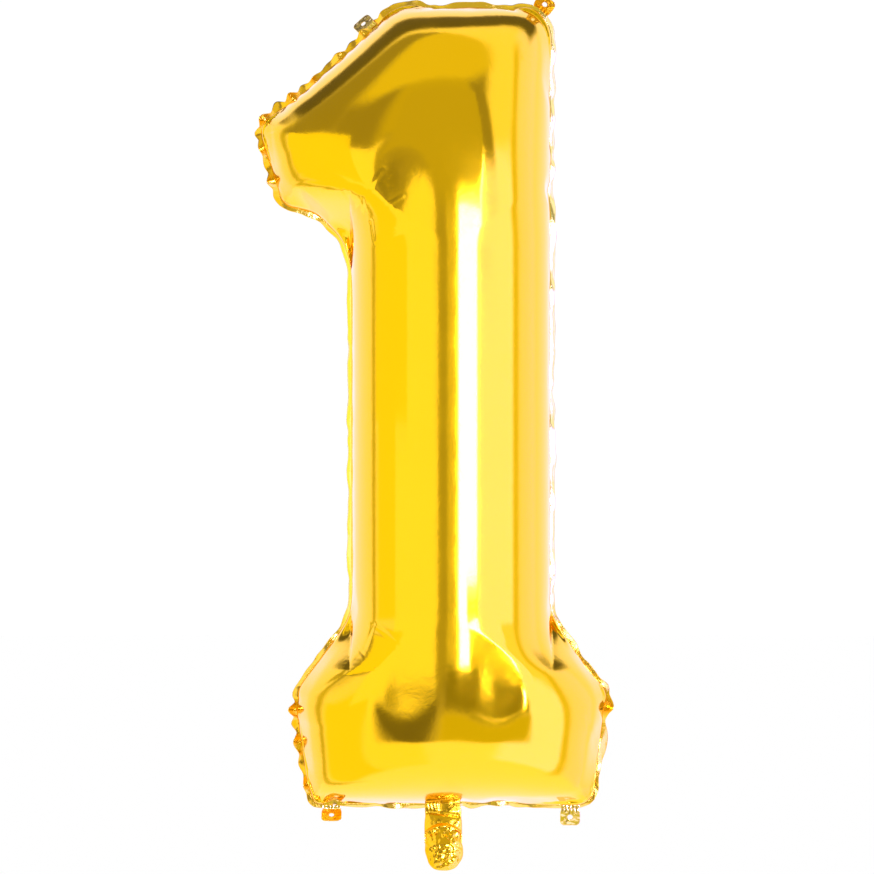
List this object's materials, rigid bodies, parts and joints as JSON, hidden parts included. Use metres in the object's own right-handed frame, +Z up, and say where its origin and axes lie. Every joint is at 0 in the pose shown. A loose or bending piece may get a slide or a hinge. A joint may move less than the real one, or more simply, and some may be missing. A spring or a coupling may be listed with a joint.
{
  "type": "foil number balloon",
  "caption": "Inflated gold foil balloon in the shape of the figure 1, with sealed seam, folding neck with inner valve films, and punched hanging tabs.",
  "frame": {"origin": "midway between the punched holes of the two top tabs, where the balloon hangs from", "axes": "+Z up; -Y is the front, from which the figure reads as a 1; +X to the right seen from the front"},
  "size_m": [0.3845, 0.23, 0.9577],
  "materials": {
    "gold_foil": "metallised film, mirror-like gold with faint handling wrinkles",
    "gold_foil_seam": "metallised film, heat-sealed, creased and ruffled",
    "gold_foil_neck": "metallised film, two plies, crinkled",
    "clear_film": "clear soft film, slightly hazy"
  },
  "bodies": {
    "balloon": {"front_panel": "gold_foil", "back_panel": "gold_foil", "seam_band": "gold_foil_seam", "valve_front_throat": "clear_film", "valve_back_throat": "clear_film"},
    "neck": {"neck_front_film": "gold_foil_neck", "neck_back_film": "gold_foil_neck", "valve_front_inlet": "clear_film", "valve_back_inlet": "clear_film"},
    "tail": {"tail_front_film": "gold_foil_neck", "tail_back_film": "gold_foil_neck"},
    "valve_front": {"valve_front_flap": "clear_film"},
    "valve_back": {"valve_back_flap": "clear_film"},
    "tab_top_left": {"tab_top_left": "gold_foil_seam"},
    "tab_top_right": {"tab_top_right": "gold_foil_seam"},
    "tab_bottom_left": {"tab_bottom_left": "gold_foil_seam"},
    "tab_bottom_right": {"tab_bottom_right": "gold_foil_seam"}
  },
  "joints": [
    {"name": "neck_fold", "type": "hinge", "parent": "balloon", "child": "neck", "pos_m": [-0.01124, -0.00061, -0.8696], "axis": [1, 0, 0], "range_deg": [-75, 75]},
    {"name": "tail_fold", "type": "hinge", "parent": "neck", "child": "tail", "pos_m": [-0.01124, -0.00061, -0.9028], "axis": [1, 0, 0], "range_deg": [-45, 45]},
    {"name": "valve_front_open", "type": "hinge", "parent": "balloon", "child": "valve_front", "pos_m": [-0.01124, -0.00061, -0.8491], "axis": [1, 0, 0], "range_deg": [0, 6]},
    {"name": "valve_back_open", "type": "hinge", "parent": "balloon", "child": "valve_back", "pos_m": [-0.01124, -0.00061, -0.8491], "axis": [1, 0, 0], "range_deg": [-6, 0]},
    {"name": "tab_top_left_fold", "type": "hinge", "parent": "balloon", "child": "tab_top_left", "pos_m": [-0.09506, -0.00061, -0.01464], "axis": [-0.7507, 0, -0.6606], "range_deg": [-128, 32]},
    {"name": "tab_top_right_fold", "type": "hinge", "parent": "balloon", "child": "tab_top_right", "pos_m": [0.09466, -0.00061, 0.00397], "axis": [-0.788, 0, 0.6157], "range_deg": [-42, 118]},
    {"name": "tab_bottom_left_fold", "type": "hinge", "parent": "balloon", "child": "tab_bottom_left", "pos_m": [-0.13374, -0.00061, -0.8696], "axis": [1, 0, 0], "range_deg": [-28, 132]},
    {"name": "tab_bottom_right_fold", "type": "hinge", "parent": "balloon", "child": "tab_bottom_right", "pos_m": [0.12726, -0.00061, -0.8696], "axis": [1, 0, 0], "range_deg": [-94, 66]}
  ],
  "couplings": [
    {"joint": "valve_back_open", "follows": "valve_front_open", "ratio": -1}
  ]
}
